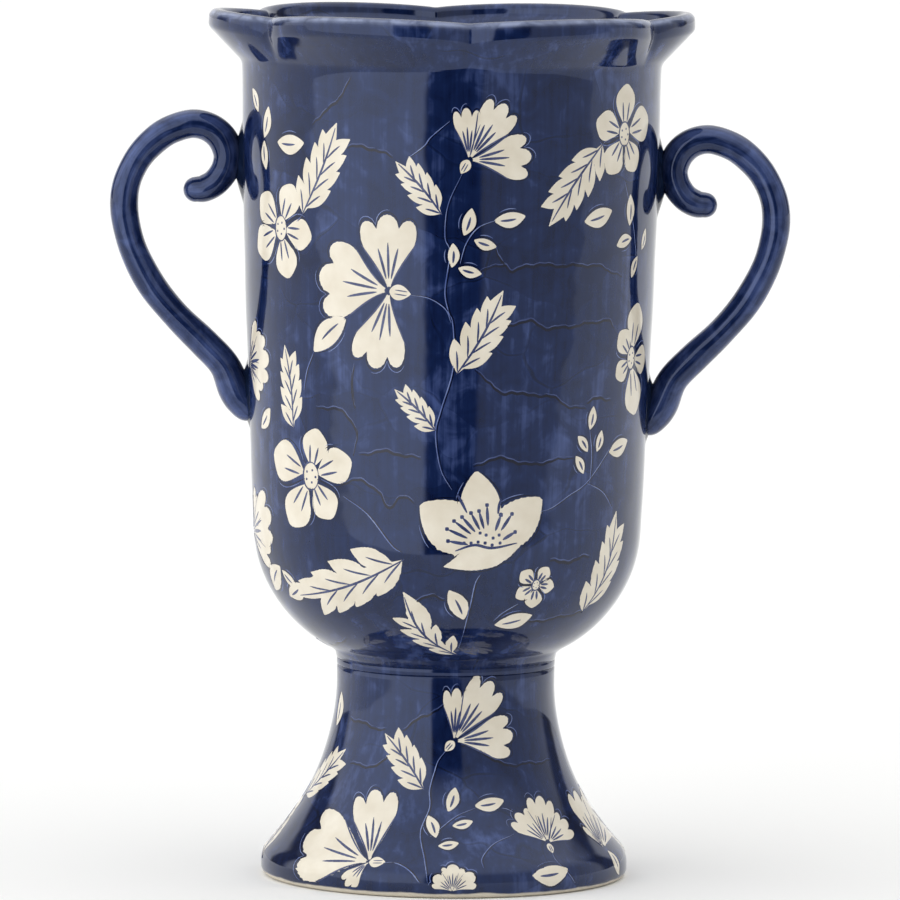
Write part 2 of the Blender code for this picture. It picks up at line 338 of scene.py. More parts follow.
# %% Cobalt glaze
STREAK_WIDTH, STREAK_LENGTH = 2.2, 45.0
WASH_WIDTH, WASH_HEIGHT, WASH_SWAY = 44.0, 27.0, (14, 14, 10)
GLAZE_WAVE = 20.0
CLOUD, SMUDGE, WARP, FAINT = 0.045, 0.10, 0.06, 0.032   # per mm: patches of 22, 10, 17 and 31 mm
# The fourth colour below is a paler blue, painted in a patchy band along the lip's outer edge.
DEEP, MIDDLE, PALE, PALE_LIP_BLUE, BARE_CLAY = "#071130", "#122148", "#435384", "#99A3BF", "#D9D0BD"
BLUES = ((0.28, DEEP), (0.55, MIDDLE), (0.85, PALE))
WALL_TONES = (0.65, 0.17, 0.40, 0.70), -0.48            # streaks, wash, cloud, smudge; level
# The coil's tones sit higher than the wall's, so the handles are painted a paler blue all along.
COIL_TONES = (0.9, 0.0, 0.40, 0.70), -0.36
WASH_BORDER = ((0.0, 0.55), (0.010, 0.62), (0.018, 1.45), (0.035, 1.15), (0.10, 1.0))
GLOSS, CLAY_ROUGHNESS = 0.07, 0.6


def rippled(tree, place):
    """The clear glaze is not quite even: slow, low waves, alike on clay and paint."""
    wave = add(tree, "TexNoise", {"Vector": place, "Scale": 1000 / GLAZE_WAVE, "Detail": 1.5}).outputs[0]
    return add(tree, "Bump", {"Strength": 0.25, "Distance": 0.0012, "Height": wave}).outputs[0]


def cobalt(name, along=None, bare_below=None, pale_lip=None):
    """Brushed cobalt under clear glaze. Its streaks run up the wall, or along a UV map; clay is bare
    below a height in mm; an attribute says where a paler blue is painted along the lip."""
    material, tree, output = new_material(name)
    place = add(tree, "TexCoord").outputs["Object"]
    mm = add(tree, "VectorMath", {0: place, 1: (1000,) * 3}, operation="MULTIPLY").outputs[0]
    if along:
        lie = add(tree, "UVMap", uv_map=along).outputs[0]
        grain = (1 / STREAK_LENGTH, 1 / STREAK_WIDTH, 1)
    else:
        lie = mm
        grain = (1 / STREAK_WIDTH, 1 / STREAK_WIDTH, 1 / STREAK_LENGTH)
    brushed = add(tree, "VectorMath", {0: lie, 1: grain}, operation="MULTIPLY").outputs[0]
    streaks = add(tree, "TexNoise", {"Vector": brushed, "Scale": 0.7, "Detail": 4.0,
                                     "Roughness": 0.6}).outputs[0]
    cloud = add(tree, "TexNoise", {"Vector": mm, "Scale": CLOUD, "Detail": 5.0}).outputs[0]
    smudge = add(tree, "TexNoise", {"Vector": mm, "Scale": SMUDGE, "Detail": 5.0,
                                    "Distortion": 0.9}).outputs[0]
    warp = add(tree, "TexNoise", {"Vector": mm, "Scale": WARP, "Detail": 1.0}).outputs["Color"]
    warped = add(tree, "VectorMath", {0: warp, 1: WASH_SWAY, 2: mm}, operation="MULTIPLY_ADD").outputs[0]
    patch = (1 / WASH_WIDTH, 1 / WASH_WIDTH, 1 / WASH_HEIGHT)
    cells = add(tree, "VectorMath", {0: warped, 1: patch}, operation="MULTIPLY").outputs[0]
    wash = add(tree, "TexVoronoi", {"Vector": cells, "Scale": 1.0}).outputs["Color"]
    shade = add(tree, "SeparateColor", {0: wash}).outputs[0]
    edge = add(tree, "TexVoronoi", {"Vector": cells, "Scale": 1.0},
               feature="DISTANCE_TO_EDGE").outputs["Distance"]
    weights, mixed = COIL_TONES if along else WALL_TONES
    for tone, weight in zip((streaks, shade, cloud, smudge), weights):
        mixed = add(tree, "Math", {0: tone, 1: weight, 2: mixed}, operation="MULTIPLY_ADD").outputs[0]
    ground = add(tree, "ValToRGB", {0: mixed}, BLUES).outputs[0]
    lines = add(tree, "ValToRGB", {0: edge}, WASH_BORDER).outputs[0]
    faint = add(tree, "TexNoise", {"Vector": mm, "Scale": FAINT, "Detail": 2.0, "Distortion": 0.4})
    strength = add(tree, "MapRange", {0: faint.outputs[0], 1: 0.44, 2: 0.60,
                                      4: 0.0 if along else 0.9}).outputs[0]
    colour = add(tree, "Mix", {0: strength, 6: ground, 7: lines}, data_type="RGBA",
                 blend_type="MULTIPLY").outputs[2]
    roughness = GLOSS
    # A paler blue is painted along the lip's outer edge, in patches set by the smudge noise.
    if pale_lip:
        lip_mask = add(tree, "Attribute", attribute_name=pale_lip).outputs["Fac"]
        patchy = add(tree, "MapRange", {0: smudge, 1: 0.35, 2: 0.60, 3: 0.25, 4: 0.85}).outputs[0]
        pale_lip_share = add(tree, "Math", {0: lip_mask, 1: patchy}, operation="MULTIPLY").outputs[0]
        colour = add(tree, "Mix", {0: pale_lip_share, 6: colour, 7: linear(PALE_LIP_BLUE)}, data_type="RGBA").outputs[2]
    if bare_below:
        height = add(tree, "SeparateXYZ", {0: mm}).outputs[2]
        ragged = add(tree, "Math", {0: cloud, 1: 3.0, 2: height}, operation="MULTIPLY_ADD").outputs[0]
        bare = add(tree, "MapRange", {0: ragged, 1: bare_below + 1.7, 2: bare_below + 1.1}).outputs[0]
        colour = add(tree, "Mix", {0: bare, 6: colour, 7: linear(BARE_CLAY)}, data_type="RGBA").outputs[2]
        roughness = add(tree, "MapRange", {0: bare, 3: GLOSS, 4: CLAY_ROUGHNESS}).outputs[0]
    shader = add(tree, "BsdfPrincipled", {"Base Color": colour, "Roughness": roughness, "IOR": 1.65,
                                          "Specular Tint": linear("#CBD9FF"),
                                          "Normal": rippled(tree, place)})
    tree.links.new(shader.outputs[0], output.inputs[0])
    return material


cobalt_cup = cobalt("cobalt_glaze_cup", pale_lip="pale_lip")
cobalt_foot = cobalt("cobalt_glaze_foot", bare_below=2.0)
cobalt_coil = cobalt("cobalt_glaze_coil", along="coil")
print("glazes:", cobalt_cup.name, cobalt_foot.name, cobalt_coil.name)

# %% [markdown]
# ## Cream reserve, painted ink and pooled glaze
#
# The flowers are bare cream slip under the clear glaze: off-white, with the faintest mottle.
# Veins and outlines are thin blue-grey brush lines. Where glaze runs into a handle's joint it
# pools, and is so deep that it looks nearly black. All lie under the same uneven clear glaze.
# Each could be a patch of one big pattern, but every colour has geometry of its own here, so
# one plain recipe of two close tones serves them all.

# %% Cream, ink and pooled glaze


def plain_glaze(name, light, dark, grain, roughness):
    """One glazed colour that wanders between two tones over a grain in millimetres."""
    material, tree, output = new_material(name)
    place = add(tree, "TexCoord").outputs["Object"]
    tone = add(tree, "TexNoise", {"Vector": place, "Scale": 1000 / grain, "Detail": 3.0}).outputs[0]
    spread = add(tree, "MapRange", {0: tone, 1: 0.3, 2: 0.7}).outputs[0]
    colour = add(tree, "Mix", {0: spread, 6: linear(dark), 7: linear(light)}, data_type="RGBA").outputs[2]
    shader = add(tree, "BsdfPrincipled", {"Base Color": colour, "Roughness": roughness, "IOR": 1.5,
                                          "Normal": rippled(tree, place)})
    tree.links.new(shader.outputs[0], output.inputs[0])
    return material


cream = plain_glaze("cream_slip_under_glaze", "#EDE6D6", "#E0D7C4", 9.0, 0.10)
ink = plain_glaze("blue_ink_line", "#505A80", "#2E3760", 3.0, 0.10)
shadow_line = plain_glaze("deep_cobalt_line", "#0A1330", "#060C22", 4.0, 0.08)
scratch = plain_glaze("scratched_pale_line", "#8D9CC8", "#5265A0", 5.0, 0.12)
pooled = plain_glaze("pooled_glaze", "#16233F", "#0A1224", 6.0, 0.06)
wash_line = plain_glaze("thin_wash_line", "#53628F", "#2C3A68", 6.0, 0.10)
print("finishes:", [finish.name for finish in (cream, ink, shadow_line, scratch, pooled, wash_line)])

# %% [markdown]
# ## The cup
#
# The outline is carried round the axis. Above the crease the lip is pushed in at six notches,
# as a potter pinches it with two fingers and a stick: more and more towards the lip, and
# sharpest right at the notch. A grid of angle against length holds it all, inside included,
# with its rows closest at the rim. A Screw modifier could turn the outline too, but the notches
# have to move every point of the lip. An attribute marks the lip's outer edge, where a paler,
# patchy blue is painted.

# %% Cup
LOBES, NOTCH_DEPTH, NOTCH_DIP, NOTCH_TURN, SHARP = 6, 9.2, 2.0, math.radians(4.5), 0.75
AROUND, TRUE_CENTRE = 360, 30.0     # columns; mm from the axis where unevenness is full
# Width of the pale band painted along the lip, and how far in from the lip's corner it lies.
PALE_LIP_WIDTH, PALE_LIP_IN = 1.1, 0.9
WALL_STEP, RIM_STEP, INSIDE_STEP = 3.0, 0.8, 5.0


def pinched(points):
    """Lobed rim: radius and height drop by the notch's share, which grows from crease to lip."""
    x, y, z = np.moveaxis(points, -1, 0)
    rise = np.clip((z - shoulder) / FLARE, 0, 1)
    angle = np.arctan2(x, -y) - NOTCH_TURN
    share = rise * (1 - np.abs(np.sin(LOBES * angle / 2)) ** SHARP)
    scale = 1 - NOTCH_DEPTH * share / np.maximum(np.hypot(x, y), 1)
    return np.stack((x * scale, y * scale, z - NOTCH_DIP * share), axis=-1)


def turned_piece(outline):
    """Carry an outline round the axis: rows along the outline, columns round the vase."""
    angle = np.arange(AROUND) * math.tau / AROUND
    r, z = outline[:, :1], np.repeat(outline[:, 1:], AROUND, axis=1)
    r = r + unevenness(angle[None, :], z) * np.minimum(1, r / TRUE_CENTRE)
    return np.stack((r * np.sin(angle), -r * np.cos(angle), z), axis=-1)


crest = int(np.argmax(cup_outside[:, 1]))
rim_to = crest + int(np.argmax(cup_outside[crest:, 1] < shoulder))
stretches = ((np.vstack(([(AXIS, base)], cup_outside[:rim_from + 1])), WALL_STEP),
             (cup_outside[rim_from:rim_to + 1], RIM_STEP), (cup_outside[rim_to:], INSIDE_STEP))
cup_line = np.vstack([evenly(part, step)[:-1] for part, step in stretches] + [cup_outside[-1:]])
cup = pinched(turned_piece(cup_line))
rows, columns = cup.shape[:2]
cup_piece = make_piece("cup_body", cup, grid_faces(rows, columns, ring=True), cobalt_cup,
                       "body_glaze", "body", end_caps(rows, columns))
# A narrow band along the lip's outer edge gets the paler blue painted on it.
from_edge = np.hypot(cup_line[:, 0] - (RIM - PALE_LIP_IN), cup_line[:, 1] - (top - PALE_LIP_IN))
pale_lip = np.exp(-(from_edge / PALE_LIP_WIDTH) ** 2).astype(np.float32)
pale_lip_layer = cup_piece.data.attributes.new("pale_lip", "FLOAT", "POINT")
pale_lip_layer.data.foreach_set("value", np.repeat(pale_lip, columns))

# %% [markdown]
# ## The foot and the waist joint
#
# The foot is a second turned piece, hollow and open below. Its lowest few millimetres were
# wiped clean of glaze so that it would not stick to the kiln shelf. The waist joint is a
# ring of slip with a rounded square section. It is smeared a little over both seams and
# glazed like the foot, so that only a soft crease shows.

# %% Foot and waist joint
FOOT_STEP = 1.6
foot = turned_piece(evenly(foot_outside[:-1], FOOT_STEP))
make_piece("flared_foot", foot, grid_faces(len(foot), AROUND, ring=True, closed=True), cobalt_foot,
           "foot_glaze", "pedestal_foot")

RING_INNER, RING_PROUD, RING_SPILL, RING_SQUARE, RING_SIDES = 34.6, 0.05, 0.8, 0.3, 24
low, high = (corner[2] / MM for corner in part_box("waist_slip_ring"))
turn = np.linspace(0, math.tau, RING_SIDES, endpoint=False)
ring_reach = (NECK + RING_PROUD - RING_INNER) / 2
across, up = (np.sign(c) * np.abs(c) ** RING_SQUARE for c in (np.cos(turn), np.sin(turn)))
ring_outline = np.column_stack((RING_INNER + ring_reach * (1 + across),
                                (low + high) / 2 + ((high - low) / 2 + RING_SPILL) * up))
waist = turned_piece(ring_outline)
make_piece("waist_slip", waist, grid_faces(RING_SIDES, AROUND, ring=True, closed=True), cobalt_foot,
           "slip_joint", "waist_slip_ring")

# %% [markdown]
# ## The handles
#
# Each handle is a rolled coil of clay, bent to a scroll and pressed on in two places. Its
# centreline is a smooth curve through a few points, given as distance out from the wall and
# height above the lower joint, with the coil's thickness there as a share. An oval section is
# carried along it. It swells where the coil was pressed on and wavers a little, as rolled clay
# does. A curve with a bevel could stand for it, but a grid also gives the brush streaks a map
# that follows the coil.

# %% Handles
COIL, OVAL, DROP, LOWER_JOINT, SEAT = 5.4, 1.2, 4.0, base + 100.0, 2.1
COIL_ROUTE = np.array((
    (-4.7, -8.6, 0.40), (-3.0, -6.6, 0.90), (0.0, -3.1, 1.14), (3.3, 2.0, 1.20), (7.2, 11.4, 1.10),
    (14.5, 19.6, 1.05), (24.5, 29.8, 1.0), (33.4, 41.2, 1.0), (39.7, 53.4, 1.0), (42.7, 64.2, 0.98),
    (43.4, 73.0, 0.98), (41.9, 81.2, 0.98), (37.8, 89.4, 0.98), (32.3, 95.6, 0.99), (25.8, 100.2, 1.0),
    (17.4, 102.8, 1.03), (10.6, 101.5, 1.04), (5.7, 97.4, 1.05), (3.5, 91.5, 1.04), (4.6, 85.9, 1.02),
    (8.2, 80.9, 0.99), (12.5, 78.4, 0.96), (16.0, 77.9, 0.88)))
COIL_SIDES, COIL_STEPS, TIP_STEPS = 40, 12, 10


def smooth_route(points, steps):
    """A Catmull-Rom curve through the points: each stretch is a cubic that keeps the slopes even."""
    p = np.vstack((2 * points[:1] - points[1:2], points, 2 * points[-1:] - points[-2:-1]))
    a, b, c, d = (p[k:len(p) - 3 + k, None, :] for k in range(4))
    t = (np.arange(steps) / steps)[None, :, None]
    run = 0.5 * (2 * b + (c - a) * t + (2 * a - 5 * b + 4 * c - d) * t ** 2
                 + (3 * b - a - 3 * c + d) * t ** 3)
    return np.vstack((run.reshape(-1, points.shape[1]), points[-1:]))


def wall_at(height):
    """Radius of the cup's outside at a height."""
    return np.interp(height, cup_wall.z, cup_wall.r)


def coil_handle(name, node, side, drop):
    """An oval section carried along the centreline, with a rounded tip at the scroll."""
    route = COIL_ROUTE.copy()
    route[:, 1] += LOWER_JOINT - drop
    route[:, 0] += wall_at(route[:, 1]) + SEAT
    route = smooth_route(route, COIL_STEPS)
    heading = np.gradient(route[:, :2], axis=0)
    heading /= np.linalg.norm(heading, axis=1)[:, None]
    bend = np.linspace(0, math.pi / 2, TIP_STEPS + 1)[1:-1, None]
    tip = route[-1]
    ahead = tip[:2] + heading[-1] * COIL * tip[2] * np.sin(bend)
    route = np.vstack((route, np.hstack((ahead, tip[2] * np.cos(bend)))))
    heading = np.vstack((heading, np.repeat(heading[-1:], TIP_STEPS - 1, axis=0)))
    x, z, half = route[:, :1], route[:, 1:2], COIL * route[:, 2:]
    length = run_length(route[:, :2])[:, None]
    angle = (np.arange(COIL_SIDES) * math.tau / COIL_SIDES)[None, :]
    hand = 1 + 0.018 * np.sin(0.21 * length + 2 * angle) + 0.012 * np.sin(0.083 * length - angle)
    across, wide = half * hand * np.cos(angle), half * hand * OVAL * np.sin(angle)
    x, z = x - across * heading[:, 1:], z + across * heading[:, :1]
    points = np.stack((side * x, wide, z), axis=-1)
    rows, columns = points.shape[:2]
    piece = make_piece(name, points, grid_faces(rows, columns, ring=True), cobalt_coil,
                       "handle_glaze", node, end_caps(rows, columns))
    mesh = piece.data
    corner = np.zeros(len(mesh.loops), int)
    mesh.loops.foreach_get("vertex_index", corner)
    row, column = np.divmod(corner, columns)
    girth = 2 * np.abs(column / columns - 0.5) * math.pi * COIL
    uv = np.column_stack((length[row, 0], girth)).astype(np.float32)
    mesh.uv_layers.new(name="coil").data.foreach_set("uv", uv.ravel())
    return piece


coil_handle("left_coil_handle", "left_handle", -1, 0.0)
coil_handle("right_coil_handle", "right_handle", 1, DROP)

# %% [markdown]
# ## Raised patches and brush lines
#
# A flower petal is a closed lens on the wall: a grid of points in millimetres on the wall's
# own surface, a tenth of a millimetre proud, with its border sunk just under the glaze. A
# brush line is a flat four-sided tube that swells in the middle and thins at its ends. An
# image could carry such a drawing too, but patches stay sharp at any distance.

# %% Lenses and lines
PROUD, SUNK, LINE_PROUD, BACK = 0.13, 0.03, 0.07, -0.25
INK_LIFT = PROUD * 1.15
layers = {}


def keep(layer, points, faces):
    """Add a closed form to a layer, faces outwards: its volume, summed over its faces, is positive."""
    p, q, r, s = np.moveaxis(points[faces] - points.mean(axis=0), 1, 0)
    volume = np.sum(p * (np.cross(q, r) + np.cross(r, s)))
    layers.setdefault(layer, []).append((points, faces if volume > 0 else faces[:, ::-1]))


def laid(at, a, b, lift):
    """Points a mm to the right and b mm up the wall from a place on it, lifted off the wall."""
    wall, around, s = at
    return on_wall(wall, around + a / np.interp(s + b, wall.s, wall.r), s + b, lift)


def lens(layer, at, a, b, proud=PROUD):
    """Closed patch over grids a, b of mm: flat in the middle, its border sunk into the wall."""
    u, v = (np.abs(np.linspace(-1, 1, count)) for count in a.shape)
    border = np.maximum(u[:, None], v[None, :])
    lift = (proud + SUNK) * (1 - border ** 6) - SUNK
    keep(layer, *closed_patch(laid(at, a, b, lift), laid(at, a, b, BACK)))


def line(layer, at, a, b, width, raised=0.0):
    """Brush line through points (a, b) in mm: a tube with sides left, top, right and bottom."""
    path = np.column_stack((a, b))
    heading = np.gradient(path, axis=0)
    heading /= np.maximum(np.linalg.norm(heading, axis=1), 1e-9)[:, None]
    t = np.linspace(0, 1, len(path))
    half = width / 2 * (0.25 + 0.75 * np.sin(math.pi * t) ** 0.6)[:, None]
    sideways = np.column_stack((-heading[:, 1], heading[:, 0])) * half
    ring = np.stack((path - sideways, path, path + sideways, path), axis=1)
    lift = np.array((raised - SUNK, raised + LINE_PROUD, raised - SUNK, BACK))
    points = laid(at, ring[..., 0], ring[..., 1], lift).reshape(-1, 3)
    ends = np.array(((3, 2, 1, 0), (0, 1, 2, 3))) + ((0,), (4 * (len(path) - 1),))
    keep(layer, points, np.vstack((grid_faces(len(path), 4, ring=True), ends)))


def between(start, end):
    """Two pixels as a place on the wall, a length in mm and a heading: 0 is up, 90 is right."""
    at, far = spot(*start), spot(*end)
    right = (far[1] - at[1]) * np.interp((at[2] + far[2]) / 2, at[0].s, at[0].r)
    up = far[2] - at[2]
    return at, math.hypot(right, up), math.degrees(math.atan2(right, up))


def route_through(pixels):
    """Smooth curve through pixels, as mm to the right and up from the first of them."""
    marks = np.array([between(pixels[0], p)[1:] for p in pixels[1:]])
    reach, heading = marks[:, 0], np.radians(marks[:, 1])
    path = np.vstack(((0, 0), np.column_stack((reach * np.sin(heading), reach * np.cos(heading)))))
    return smooth_route(path, 8).T


def headed(out, side, heading):
    """Turn lengths along and beside a heading into mm to the right and up."""
    c, s = math.cos(math.radians(heading)), math.sin(math.radians(heading))
    return out * s + side * c, out * c - side * s


# %% [markdown]
# ## Petals and leaves
#
# Every plant form is a formula in two parameters: u runs from root to tip and v from the left
# edge to the right. A blade has a width that swells and closes again; a toothed leaf is many
# small blades on one midrib. A frilled petal is a sector whose outer edge has three soft lobes.

# %% Petal and leaf shapes


def blade(layer, at, length, heading, width, fullest=0.5, bend=0.0, start=0.0, blunt=0.85,
          n=16, m=7):
    """Leaf or petal: half width = a swelling with its fullest place at a share of the length."""
    u = np.linspace(0, 1, n)[:, None]
    v = np.linspace(-1, 1, m)[None, :]
    power = math.log(0.5) / math.log(fullest)
    swell = np.sin(math.pi * np.clip(u, 0.006, 0.994) ** power) ** blunt
    half = width / 2 * np.maximum(swell, 0.03)
    curve = bend * length * np.sin(math.pi * u)
    out = start + (length - start) * u
    lens(layer, at, *headed(out + 0 * v, half * v + curve + 0 * v, heading))


def vein(at, length, heading, begin, end, side=0.0, lean=0.0, bend=0.0, width=0.5):
    """A tapered ink line on a petal, from one share of its length to another."""
    u = np.linspace(begin, end, int(max(9, length * (end - begin) / 1.2)))
    out = length * u
    beside = side + lean * (out - out[0]) + bend * length * np.sin(math.pi * u)
    line("ink", at, *headed(out, beside, heading), width, raised=INK_LIFT)


def outline(at, length, heading, width, fullest, bend, begin=0.04):
    """Thin dark line beside each edge of a leaf, where the wash stopped against the resist."""
    u = np.linspace(begin, 0.96, 13)
    power = math.log(0.5) / math.log(fullest)
    half = width / 2 * np.sin(math.pi * u ** power) ** 0.85 + 0.35
    curve = bend * length * np.sin(math.pi * u)
    for way in (-1, 1):
        line("shadow", at, *headed(length * u, way * half + curve, heading), 0.55)
    line("scratch", at, *headed(length * u[2:10], (-half - 0.8 + curve)[2:10], heading), 0.4)


def leaflet(kind, root, tip, plump=0.50):
    """Small plain leaf with one short, bold midrib."""
    at, length, heading = between(root, tip)
    blade(kind, at, length, heading, plump * length, fullest=0.5, bend=0.05)
    vein(at, length, heading, 0.20, 0.68, bend=0.05, width=1.05)
    outline(at, length, heading, plump * length, 0.5, 0.05)


def toothed_leaf(kind, root, tip, plump, bend, pairs=4):
    """Leaf cut deep into finger lobes: pairs of pointed blades lean off a midrib towards the tip."""
    at, length, heading = between(root, tip)
    wall, around, s = at
    blade(kind, at, 0.9 * length, heading, 0.20 * length, fullest=0.55, bend=bend, n=20)
    blade(kind, at, length, heading, 0.19 * length, fullest=0.42, start=0.50 * length, blunt=1.05)
    vein(at, length, heading, 0.0, 0.94, bend=bend, width=1.0)
    for k, share in enumerate(np.linspace(0.05, 0.58, pairs)):
        swell = 0.95 + 0.15 * math.sin(math.pi * (k + 0.7) / pairs)
        for way in (-1, 1):
            lean = heading + way * (35 - 2.5 * k)
            start = share + 0.03 * way
            curve = bend * length * math.sin(math.pi * start)
            side, up = headed(start * length, curve, heading)
            finger = wall, around + side / float(np.interp(s + up, wall.s, wall.r)), s + up
            reach = length * plump * 0.78 * swell
            blade(kind, finger, reach, lean, 0.46 * reach, fullest=0.50, bend=-0.04 * way, blunt=1.0,
                  n=14, m=5)
            vein(finger, reach, lean, 0.05, 0.62, bend=-0.04 * way, width=0.85)


def frilled_petal(kind, at, length, heading, spread, lobes=3, veins=3, n=15, m=25):
    """Sector petal: reach = length, less at the corners and between the lobes."""
    def frill(v):
        """Share of the length reached at v: soft lobes, and less towards the corners."""
        return (0.83 + 0.17 * np.abs(np.cos(lobes * math.pi * v / 2)) ** 0.65) * (1 - 0.22 * v ** 4)

    def flare(u):
        """Share of the spread at u: a narrow root that opens quickly."""
        return 0.62 + 0.9 * u - 0.52 * u * u

    def ray(out, way):
        """A length out along a ray, whose way runs from -1 at one side of the fan to 1."""
        turn = np.radians(heading + way * spread / 2)
        return out * np.sin(turn), out * np.cos(turn)

    u, v = np.linspace(0.04, 1, n)[:, None], np.linspace(-1, 1, m)[None, :]
    lens(kind, at, *ray(length * frill(v) * u, v * flare(u)))
    edge = np.linspace(-1, 1, 31)
    reach = length * frill(edge) + 0.3
    line("shadow", at, *ray(reach, edge), 0.6)
    line("scratch", at, *ray(reach[3:17] + 0.9, edge[3:17]), 0.4)
    brush = min(max(0.045 * length, 0.45), 1.15)
    for way in np.linspace(-0.5, 0.5, veins):
        u = np.linspace(0.16, 0.62 - 0.12 * abs(way), 9)
        line("ink", at, *ray(length * u, way * (0.7 + 0.3 * u)), brush, raised=INK_LIFT)
    u = np.linspace(0.08, 0.70, 9)
    for way in (-1, 1):
        line("ink", at, *ray(length * u, way * flare(u)), 0.55 * brush, raised=PROUD)


def side_blossom(kind, hub, petals, calyx=None):
    """Blossom seen from the side: frilled petals (tip, spread, lobes) from one hub, and a small cup."""
    for tip, spread, lobes in petals:
        at, length, heading = between(hub, tip)
        frilled_petal(kind, at, length, heading, spread, lobes)
    if calyx:
        at, length, heading = between(hub, calyx)
        blade(kind, at, length * 1.15, heading, length * 0.85, fullest=0.42)
        for way in (-0.1, 0.1):
            vein(at, length, heading, 0.3, 0.95, side=way * length)


def dots(at, size, angles=(0.0,), radius=0.0):
    """Round ink dots on a ring about a place, or one dot right on it."""
    x, y = disc(5, 5)
    for angle in angles:
        lens("ink_dots", at, radius * math.sin(angle) + size * x, radius * math.cos(angle) + size * y,
             proud=PROUD + LINE_PROUD)


def open_blossom(kind, centre, tips, plump=0.72):
    """Five-petalled blossom from the front: petals round an oval eye with a few dots in it."""
    sizes = []
    for tip in tips:
        at, length, heading = between(centre, tip)
        sizes.append(length)
        blade(kind, at, length, heading, plump * length, fullest=0.6, start=0.14 * length, blunt=0.76)
        for way in (-1, 1):
            vein(at, length, heading, 0.25, 0.62, side=way * 0.06 * length, lean=way * 0.14, width=1.05)
        outline(at, length, heading, plump * length, 0.6, 0.0)
    eye = 0.21 * np.mean(sizes)
    angle = np.linspace(0, math.tau, 25)
    x, y = disc(9, 9)
    lens(kind, at, 0.85 * eye * x, 1.15 * eye * y, proud=PROUD + 0.04)
    line("ink", at, 0.9 * eye * np.cos(angle), 1.2 * eye * np.sin(angle), 0.65, raised=PROUD)
    dots(at, 0.17 * eye, np.arange(5) * math.tau / 5 + 0.4, 0.55 * eye)


def plants(part, side_blossoms, open_blossoms, toothed_leaves, leaflets):
    """Lay all the plants of one wall on it."""
    for hub, petals, calyx in side_blossoms.values():
        side_blossom(part + "_flowers", hub, petals, calyx)
    for centre, tips in open_blossoms.values():
        open_blossom(part + "_flowers", centre, tips)
    for root, tip, plump, bend in toothed_leaves.values():
        toothed_leaf(part + "_leaves", root, tip, plump, bend)
    for root, tip in leaflets.values():
        leaflet(part + "_leaves", root, tip)


# %% [markdown]
# ## The painted front
#
# Each motif is named by what it is and placed by pixels of the photograph: where it starts
# and where it ends. A toothed leaf also has its plumpness and its bend. The line of sight
# through a pixel is followed until it meets the wall, so a motif near the edge keeps its true
# width when the vase is seen from there.

# %% Flowers and leaves of the cup
CUP_SIDE_BLOSSOMS = {
    "upper_fan": ((469, 160), (((466, 107), 42, 3), ((507, 103), 47, 3), ((533, 156), 58, 3)),
                  (462, 172)),
    "great_blossom": ((389, 291), (((387, 213), 64, 3), ((318, 275), 82, 3), ((374, 370), 58, 3)),
                      (408, 294)),
    "left_edge_upper": ((250, 362), (((262, 334), 60, 3), ((270, 358), 60, 3), ((264, 388), 60, 3)),
                        None),
    "left_edge_lower": ((254, 530), (((259, 497), 60, 3), ((272, 514), 60, 3), ((271, 548), 60, 3)),
                        None),
}
CUP_OPEN_BLOSSOMS = {
    "upper_right": ((624, 134), ((627, 83), (596, 121), (648, 118), (607, 174), (635, 171))),
    "upper_left": ((281, 228), ((293, 184), (260, 196), (258, 250), (289, 279), (312, 238))),
    "lower_left": ((311, 476), ((317, 428), (352, 460), (333, 519), (291, 526), (274, 452))),
    "right_edge": ((631, 358), ((638, 302), (619, 332), (616, 378), (635, 415), (645, 360))),
    "small_low": ((536, 585), ((549, 567), (521, 572), (516, 598), (532, 608), (554, 587))),
}
CUP_TOOTHED_LEAVES = {
    "upper_left": ((302, 215), (337, 122), 0.46, 0.04),
    "upper_middle": ((442, 215), (395, 161), 0.46, 0.04),
    "upper_right": ((603, 143), (549, 227), 0.44, 0.04),
    "middle": ((456, 375), (504, 290), 0.46, 0.04),
    "middle_small": ((436, 431), (394, 389), 0.46, 0.04),
    "left": ((294, 429), (285, 344), 0.44, 0.04),
    "large_low": ((405, 559), (300, 596), 0.42, -0.06),
    "bowl": ((458, 655), (394, 591), 0.36, -0.09),
    "right_low": ((581, 613), (617, 510), 0.44, 0.04),
}
CUP_LEAFLETS = {
    "top_left_a": ((258, 112), (252, 88)), "top_left_b": ((264, 138), (268, 106)),
    "top_left_c": ((277, 142), (304, 143)), "top_left_d": ((264, 140), (266, 170)),
    "fan_a": ((494, 221), (526, 216)), "fan_b": ((464, 236), (472, 208)),
    "fan_c": ((474, 240), (497, 247)), "fan_d": ((452, 268), (453, 243)),
    "fan_e": ((458, 268), (482, 274)), "right_a": ((584, 222), (612, 210)),
    "right_b": ((629, 226), (630, 194)), "right_c": ((631, 238), (616, 246)),
    "right_d": ((641, 250), (645, 228)), "right_e": ((637, 256), (631, 278)),
    "blossom_leaf": ((346, 318), (314, 352)), "left_bud": ((262, 428), (271, 408)),
    "low_bud_a": ((280, 566), (276, 590)), "low_bud_b": ((282, 570), (298, 588)),
    "low_bud_c": ((290, 596), (303, 584)), "bowl_a": ((464, 620), (448, 590)),
    "bowl_b": ((494, 625), (533, 615)), "sprig_a": ((590, 430), (594, 406)),
    "sprig_b": ((588, 452), (578, 436)), "sprig_c": ((597, 452), (602, 430)),
    "sprig_d": ((609, 452), (628, 440)), "sprig_e": ((584, 474), (576, 456)),
}
plants("cup", CUP_SIDE_BLOSSOMS, CUP_OPEN_BLOSSOMS, CUP_TOOTHED_LEAVES, CUP_LEAFLETS)
print("cup layers:", {name: len(parts) for name, parts in layers.items()})

# %% [markdown]
# ## The cup-shaped bloom
#
# One flower low on the front opens upwards like a bowl: three upright petals, one lying
# across their foot, and a spray of stamens with round heads. It could have a shape of its own,
# but the blades and brush lines above are enough for it.

